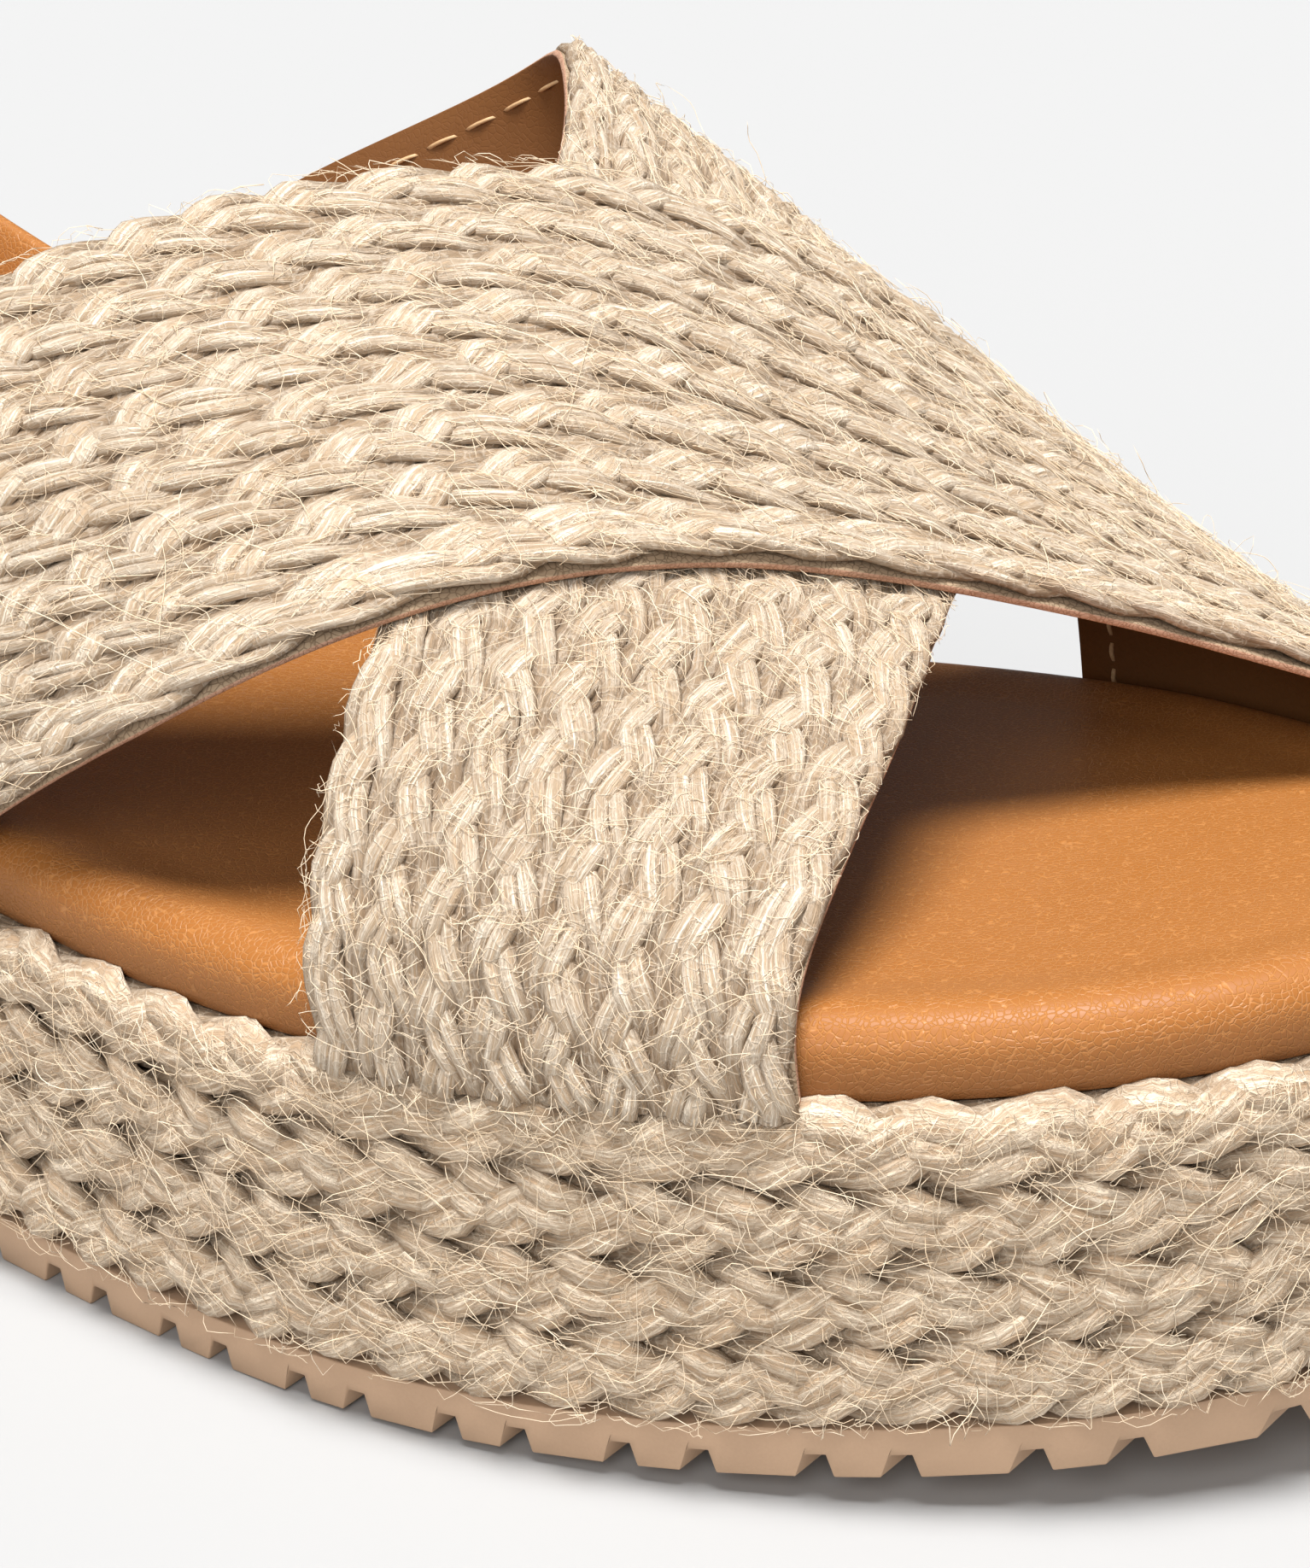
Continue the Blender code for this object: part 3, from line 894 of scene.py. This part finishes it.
def lay_plait(strands, patch, centre, share, plait, closed, height, random, press=None):
    """Lay one plait along a patch, its middle at a share across and share wide."""
    rows = patch[0].shape[0]
    marks = np.linspace(0, 1, rows)
    line = wrap(patch, marks, np.full(rows, centre), np.zeros(rows))
    walk = np.concatenate([[0], np.cumsum(np.linalg.norm(np.diff(line, axis=0), axis=1))])
    length = walk[-1]
    turns = max(1, round(length / plait["period"])) if closed else length / plait["period"]
    part = np.linspace(0, 1, int(turns * plait["steps"]), endpoint=not closed)
    u = part * length
    drift = random.random()
    round_ = 2 * np.pi * (np.arange(SIDES) + 0.5) / SIDES
    full = plait["lift"] + plait["thick"] / 2
    snug = plait["snug"] * plait["wide"] / 4

    def uneven(what):
        """How one measure changes along the plait."""
        most, wave = UNEVEN[what]
        return most * wobble(part, length / wave, random)

    def add_yarn(y, z, apart, half_wide, half_thick):
        """One yarn round a path, set off sideways by apart."""
        forward = np.column_stack([np.ones_like(u), slope(y, u[1], closed), slope(z, u[1], closed)])
        forward /= np.linalg.norm(forward, axis=1)[:, None]
        sideways = np.cross([0.0, 0.0, 1.0], forward)
        sideways /= np.linalg.norm(sideways, axis=1)[:, None]
        upward = np.cross(forward, sideways)
        above = half_thick * uneven("height")
        rough = 1 + np.stack([uneven("edge") for _ in round_], axis=1)
        across_ring = apart[:, None] + half_wide[:, None] * rough * np.cos(round_)
        up_ring = above[:, None] + half_thick[:, None] * rough * np.sin(round_)
        ring = np.column_stack([u, y, z])[:, None, :] + across_ring[..., None] * sideways[:, None, :]
        ring = ring + up_ring[..., None] * upward[:, None, :]
        along = ring[:, :, 0] % length if closed else ring[:, :, 0]
        place = np.interp(along, walk, marks)
        if not closed:
            place = place + (np.minimum(along, 0) + np.maximum(along - length, 0)) / length
        over = centre + ring[:, :, 1] / plait["pitch"] * share
        above_patch = height + ring[:, :, 2]
        if press is not None:
            above_patch = above_patch * press(place, over)
        twist = round_[None, :] + 2 * np.pi * u[:, None] / plait["lay"]
        seed = NOISE_SPAN * random.random()
        fibre = np.stack([u[:, None] + seed + 0 * twist, np.cos(twist), np.sin(twist)], axis=-1)
        # Painted shade: strands darken toward the bottom of the plait, times a random tone for each yarn.
        depth = np.clip((ring[:, :, 2] / full + 1) / 2, 0, 1)
        light = LEAST_LIGHT + (1 - LEAST_LIGHT) * random.random()
        tone_and_shade = light * np.clip(plait["bottom_shade"] + (CREST_TONE - plait["bottom_shade"]) * depth, 0, 1)
        strands.add(wrap(patch, place, over, above_patch), closed, fibre, tone_and_shade)

    slip = uneven("slip")
    for strand in range(3):
        angle = 2 * np.pi * (turns * part + strand / 3 + drift) + slip
        y = plait["swing"] * (np.sin(angle) - CORNER * np.sin(3 * angle)) / (1 + CORNER)
        y = y * (1 + uneven("swing"))
        up = -plait["point"] * np.sin(2 * angle - plait["point"] * LATE)
        z = plait["lift"] * up - plait["dip"] * np.sin(angle) ** 6
        leaf = 1 + plait["leaf"] * up
        for yarn in (-0.25, 0.25):
            size = leaf * (1 + uneven("size"))
            apart = yarn * plait["wide"] * leaf * (1 + uneven("apart"))
            add_yarn(y, z, apart, snug * size, plait["thick"] / 2 * size)
    if closed or centre + share < 1:
        even = np.ones_like(u)
        beside = plait["pitch"] / 2 * even
        add_yarn(beside, FILLER_DEPTH * full * even, 0 * u, FILLER * even, FILLER * even)


print("a yarn has", SIDES, "sides")

# %% [markdown]
# The side of the platform is wound with four rows of heavy plait. They lie on a surface that
# climbs the side and rolls over the top edge, so that the highest row meets the footbed. That row
# is drawn out longer and flatter than the others, because it is pulled round the edge.
#
# In the sizes of a plait, pitch is its whole width, swing and lift are how far a strand goes sideways and up,
# and dip is how far it sinks at a turn. A strand is wide and thick, its yarns are snug by more than half of
# it, and it swells by leaf on top. A turn takes one period and has so many steps, a yarn twists once in a
# lay, and the lobes point one way or the other. The tone falls to the bottom shade at the bottom of the
# plait: painted shade for the hollows between the strands.

# %% Rope rows of the platform
ROW_BASE = 0.0009
ROW_ROLL = 0.0014
ROW_TOP = -0.0004
ROPE_STATIONS = 170
SIDE_STEPS = 9
ROLL_STEPS = 6
PATCH_COLUMNS = 33
SOLE_PLAIT = {
    "pitch": 0.0063,
    "swing": 0.0018,
    "lift": 0.0008,
    "dip": 0.0001,
    "wide": 0.0034,
    "thick": 0.0019,
    "snug": 1.34,
    "leaf": 0.20,
    "period": 0.0200,
    "steps": 15,
    "lay": 0.040,
    "point": 1,
    "bottom_shade": -0.45,
}
TOP_PLAIT = dict(SOLE_PLAIT, swing=0.0014, lift=0.0006, wide=0.0037, period=0.0240)


def platform_patch():
    """Closed patch round the side of the platform, from its lower edge over its upper edge."""
    stations = round_stations(ROPE_STATIONS)
    columns = []
    for share in np.linspace(0, 1, SIDE_STEPS):

        def height(x, share=share):
            top = platform_top(x) - ROW_TOP - ROW_ROLL
            return platform_bottom(x) + CLEARANCE + share * (top - platform_bottom(x) - CLEARANCE)

        columns.append(ring_at(stations, ROW_BASE, height))
    for angle in np.radians(90 * np.arange(1, ROLL_STEPS + 1) / ROLL_STEPS):
        rise = ROW_ROLL * (np.sin(angle) - 1) - ROW_TOP
        grow = ROW_BASE - ROW_ROLL * (1 - np.cos(angle))
        columns.append(ring_at(stations, grow, lambda x, rise=rise: platform_top(x) + rise))
    profile = np.stack(columns, axis=1)
    walk = np.linalg.norm(np.diff(profile, axis=1), axis=2).mean(axis=0)
    marks = np.concatenate([[0], np.cumsum(walk)])
    even = np.linspace(0, marks[-1], PATCH_COLUMNS)
    grid = np.stack(
        [[np.interp(even, marks, row[:, axis]) for row in profile] for axis in range(3)], axis=-1
    )
    return patch_of(grid, closed=True)


side_patch = platform_patch()
random = np.random.default_rng(7)
sole_strands = Strands()
for row, sizes in enumerate([SOLE_PLAIT] * (ROPE_ROWS - 1) + [TOP_PLAIT]):
    lay_plait(sole_strands, side_patch, (row + 0.5) / ROPE_ROWS, 1 / ROPE_ROWS, sizes, True, 0.0, random)
sole_rope = sole_strands.piece("sole_rope")
finish_piece(sole_rope, "midsole", "sole_rope", SOLE_JUTE)

# %% [markdown]
# Each strap has a smooth leather lining, and its raw cut edge shows under the rope at the sides. A
# grid is laid on the strap's patch, and Solidify gives it its thickness and its edge material.

# %% Linings
LINING_WALL = 0.0007
LINING_EDGE = 0.0002
LINING_ROWS = 110
LINING_COLUMNS = 14
LINING_CORNER = np.radians(50)


def make_lining(name, patch):
    """Leather lining of one strap, as wide as its rope."""
    deselect()
    bpy.ops.mesh.primitive_grid_add(x_subdivisions=LINING_ROWS, y_subdivisions=LINING_COLUMNS, size=1)
    piece = bpy.context.object
    piece.name = name
    flat = np.array([vertex.co for vertex in piece.data.vertices])
    laid = wrap(patch, flat[:, 0] + 0.5, flat[:, 1] + 0.5, np.zeros(len(flat)))
    piece.data.vertices.foreach_set("co", laid.ravel())
    # The face under the rope takes the backing: painted shade seen through the gaps between the plaits.
    for material in (BACKING, LINING_LEATHER, CUT_LEATHER):
        piece.data.materials.append(material)
    walls = {"thickness": LINING_WALL, "offset": 1, "material_offset": 1, "material_offset_rim": 2}
    apply_modifier(piece, "SOLIDIFY", **walls)
    bevel = {"width": LINING_EDGE, "segments": 2, "limit_method": "ANGLE", "angle_limit": LINING_CORNER}
    apply_modifier(piece, "BEVEL", **bevel)
    piece.data.shade_smooth()
    finish_piece(piece, "upper", "strap_leather")


make_lining("understrap_lining", under_patch)
make_lining("overstrap_lining", over_patch)

# %% [markdown]
# The lining is sewn to the rope near both edges, and the stitches show inside. Each is a short
# bow of thread: it leaves the leather, lies on it for two millimetres and goes in again.

# %% Stitches
STITCH_STEP = 0.0034
STITCH_LENGTH = 0.0024
STITCH_INSET = 0.075
STITCH_RINGS = 5
SEAM_START = 0.01
THREAD_RADIUS = 0.00028
THREAD_SIDES = 5
BOW_HEIGHT = 1.4
BOW_DEPTH = 0.6


def sew_lining(name, patch):
    """Two rows of stitches on the inner face of a lining."""
    rows = patch[0].shape[0]
    t = np.linspace(-0.5, 0.5, STITCH_RINGS)
    round_ = 2 * np.pi * np.arange(THREAD_SIDES) / THREAD_SIDES
    points, faces = [], []
    for across in (STITCH_INSET, 1 - STITCH_INSET):
        line = wrap(patch, np.linspace(0, 1, rows), np.full(rows, across), np.zeros(rows))
        long = np.linalg.norm(np.diff(line, axis=0), axis=1).sum()
        wide = np.linalg.norm(patch[0][rows // 2, 0] - patch[0][rows // 2, -1])
        for start in np.arange(SEAM_START, 1 - SEAM_START, STITCH_STEP / long):
            along = start + t * STITCH_LENGTH / long
            bow = -THREAD_RADIUS * (BOW_HEIGHT * np.cos(np.pi * t) - BOW_DEPTH)
            over = across + THREAD_RADIUS / wide * np.cos(round_)[None, :] + 0 * t[:, None]
            height = bow[:, None] - THREAD_RADIUS * np.sin(round_)[None, :]
            ring = wrap(patch, along[:, None] + 0 * over, over, height)
            first = THREAD_SIDES * STITCH_RINGS * len(points)
            faces += tube_faces(first, STITCH_RINGS, THREAD_SIDES, False)
            points.append(ring.reshape(-1, 3))
    piece = mesh_piece(name, np.vstack(points), faces)
    open_mesh(piece)
    bpy.ops.mesh.normals_make_consistent(inside=False)
    bpy.ops.object.mode_set(mode="OBJECT")
    finish_piece(piece, "upper", "strap_leather", THREAD)


sew_lining("understrap_stitches", under_patch)
sew_lining("overstrap_stitches", over_patch)

# %% [markdown]
# Eight plaits lie side by side on each lining. They are finer, paler and silkier than the rope
# of the platform, and pressed flatter. The plaits at an edge swing less and are drawn out longer,
# so that the edge is smooth. The overstrap lies on the understrap and squeezes its rope, so that a
# dark gap shows under the overstrap's edge.

# %% Strap ropes
UNDER_PLAIT = dict(
    SOLE_PLAIT,
    pitch=0.0050,
    swing=0.0016,
    lift=0.00042,
    dip=0.0002,
    wide=0.0024,
    thick=0.0012,
    snug=1.20,
    leaf=0.14,
    period=0.0190,
    lay=0.050,
)
OVER_PLAIT = dict(UNDER_PLAIT, period=0.0210, point=-1)
UNDER_EDGE = dict(UNDER_PLAIT, swing=0.0013, wide=0.0026, period=0.0210)
OVER_EDGE = dict(OVER_PLAIT, swing=0.0011, dip=0.0, wide=0.0028, period=0.0260)
UNDER_PLAITS = [UNDER_EDGE] + [UNDER_PLAIT] * (PLAITS - 2) + [UNDER_EDGE]
OVER_PLAITS = [OVER_EDGE] + [OVER_PLAIT] * (PLAITS - 1)
ROPE_HEIGHT = LINING_WALL + 0.0009
SQUEEZED = 0.5
SQUEEZE_START = 0.0002
SQUEEZE_LENGTH = 0.0035


def squeeze(over, across):
    """Share of its height that the understrap's rope keeps where the overstrap lies on it."""
    knots = column(STRAP_EDGES, "over")
    edge = {name: smooth(over, knots, column(STRAP_EDGES, name)) for name in STRAP_EDGES[0][1:]}
    station = edge["under_front"] + (edge["under_rear"] - edge["under_front"]) * across
    clear = np.maximum(station - edge["over_front"], edge["over_rear"] - station) * LENGTH
    t = np.clip((clear + SQUEEZE_START) / SQUEEZE_LENGTH, 0, 1)
    return SQUEEZED + (1 - SQUEEZED) * t**2 * (3 - 2 * t)


def make_strap_rope(name, patch, plaits, random, press=None):
    """The plaits of one strap, side by side, from their sizes."""
    strands = Strands()
    for plait, sizes in enumerate(plaits):
        centre = (plait + 0.5) / PLAITS
        lay_plait(strands, patch, centre, 1 / PLAITS, sizes, False, ROPE_HEIGHT, random, press)
    finish_piece(strands.piece(name), "upper", "strap_rope", STRAP_JUTE)


make_strap_rope("understrap_rope", under_patch, UNDER_PLAITS, random, squeeze)
make_strap_rope("overstrap_rope", over_patch, OVER_PLAITS, random)

# %% [markdown]
# Jute sheds: thousands of loose fibres lie over the rope and stand out of it, and they give it
# its soft outline. Each is a thin three-sided thread with a pointed end. Its path is drawn on the
# flat patch, as a line that curls, and is then wrapped a little above the rope. A path that would
# leave the rope is folded back at its reach, so that no fibre hangs in the air beside it.

# %% Loose fibres
FLOOR_GAP = 0.0003
STARTS = (-0.01, 1.01)
ENDS = (-0.004, 1.004)
THIN_RANGE = (0.7, 1.3)
TONE_RANGE = (0.6, 1.0)
FIBRE_SPAN = 5
LENGTH_SHAPE = 3.0
SWAY = 0.5


def fibre_paths(patch, wide, closed, press, look, random):
    """Middle lines of fibres over a patch (count, steps + 1, 3)."""
    count = look["count"]
    t = np.linspace(0, 1, look["steps"] + 1)[None, :]
    rows = patch[0].shape[0]
    edge = wrap(patch, np.linspace(0, 1, rows), np.full(rows, 0.5), np.zeros(rows))
    long = np.linalg.norm(np.diff(edge, axis=0), axis=1).sum()
    size = look["length"] * random.gamma(LENGTH_SHAPE, 1 / LENGTH_SHAPE, (count, 1))
    heading = look["spread"] * random.normal(size=(count, 1)) + np.pi * random.integers(0, 2, (count, 1))
    bend = look["curl"] * random.normal(size=(count, 1))
    sway = SWAY * look["curl"] * random.normal(size=(count, 1))
    angle = heading + bend * t + sway * np.sin(2 * np.pi * (t + random.random((count, 1))))
    step = size / look["steps"]
    x = np.cumsum(np.cos(angle) * step, axis=1) + long * random.random((count, 1))
    y = np.cumsum(np.sin(angle) * step, axis=1) + wide * random.uniform(*STARTS, (count, 1))
    rise = look["rise"] * random.exponential(size=(count, 1))
    stand = look["stand"] * random.exponential(size=(count, 1))
    height = look["height"] + rise * np.sin(np.pi * t) + stand * t**2
    along = (x / long) % 1 if closed else np.clip(x / long, *ENDS)
    low, high = look["reach"]
    across = high - np.abs(high - low - np.abs(y / wide - low))
    if press is not None:
        height = height * press(along, across)
    points = wrap(patch, along, across, height)
    points[..., 2] = np.maximum(points[..., 2], FLOOR_GAP)
    return points


def loose_fibres(name, beds, look, random, node, slot):
    """Thin curly threads over beds of (patch, width, closed, press), as one mesh."""
    middle = np.concatenate([fibre_paths(*bed, look, random) for bed in beds])
    count, rings = middle.shape[:2]
    forward = np.gradient(middle, axis=1)
    forward /= np.linalg.norm(forward, axis=2)[..., None]
    helper = np.where(np.abs(forward[:, :1, 2:]) < 0.8, [0.0, 0.0, 1.0], [1.0, 0.0, 0.0])
    first = np.cross(helper, forward)
    first /= np.linalg.norm(first, axis=2)[..., None]
    second = np.cross(forward, first)
    radius = look["thin"] * random.uniform(*THIN_RANGE, (count, 1, 1))
    corners = []
    for angle in 2 * np.pi * np.arange(3) / 3:
        outward = first * np.cos(angle) + second * np.sin(angle)
        corners.append(middle[:, :-1] + radius * outward[:, :-1])
    body = np.stack(corners, axis=2).reshape(count, -1, 3)
    points = np.concatenate([body, middle[:, -1:]], axis=1)
    each = 3 * (rings - 1) + 1
    starts = each * np.arange(count)[:, None, None]
    quads = np.array(tube_faces(0, rings - 1, 3, False)[:-2])[None] + starts
    tip = each - 1
    last = tip - 3
    ends = np.array([[2, 1, 0]] + [[last + i, last + (i + 1) % 3, tip] for i in range(3)])
    faces = quads.reshape(-1, 4).tolist() + (ends[None] + starts).reshape(-1, 3).tolist()
    piece = mesh_piece(name, points.reshape(-1, 3), faces)
    keep_in_mesh(piece, "fibre", np.repeat(FIBRE_SPAN * random.random((count, 3)), each, axis=0))
    keep_in_mesh(piece, "tone_and_shade", np.repeat(random.uniform(*TONE_RANGE, count), each))
    finish_piece(piece, node, slot, LOOSE_JUTE)


FIBRES = [
    ("name", "count", "length", "spread", "curl", "rise", "stand", "height", "steps", "thin", "reach"),
    ("sole_fuzz", 8800, 0.0036, 0.6, 1.2, 0.0004, 0.0002, 0.0017, 4, 0.000032, (-0.02, 0.95)),
    ("sole_curls", 1900, 0.0080, 0.9, 2.0, 0.0008, 0.0006, 0.0017, 9, 0.000032, (-0.02, 0.95)),
    ("strap_fuzz", 4400, 0.0034, 0.5, 1.0, 0.00025, 0.00025, 0.0023, 4, 0.000032, (-0.01, 1.01)),
    ("strap_curls", 640, 0.0072, 0.9, 1.9, 0.0004, 0.0006, 0.0023, 9, 0.000032, (-0.01, 1.01)),
]
STRAP_WIDE = PLAITS * UNDER_PLAIT["pitch"]
SOLE_WIDE = ROPE_ROWS * SOLE_PLAIT["pitch"]
sole_bed = [(side_patch, SOLE_WIDE, True, None)]
strap_beds = [(under_patch, STRAP_WIDE, False, squeeze), (over_patch, STRAP_WIDE, False, None)]
looks = [dict(zip(FIBRES[0], row)) for row in FIBRES[1:]]
for look in looks[:2]:
    loose_fibres(look["name"], sole_bed, look, random, "midsole", "sole_rope")
for look in looks[2:]:
    loose_fibres(look["name"], strap_beds, look, random, "upper", "strap_rope")

# %% [markdown]
# A leather strap goes round the heel and tucks in under the crossed straps. Its solid has the
# right path, so a copy of it is merged and rounded.

# %% Heel strap
QUAD_LIMIT = 0.7

heel = open_copy("heel_strap", "heel_leather")
bpy.ops.mesh.tris_convert_to_quads(face_threshold=QUAD_LIMIT, shape_threshold=QUAD_LIMIT)
bpy.ops.object.mode_set(mode="OBJECT")
apply_modifier(heel, "SUBSURF", levels=2, render_levels=2)
heel.data.shade_smooth()
finish_piece(heel, "heel_strap", "strap_leather", FOOTBED_LEATHER)
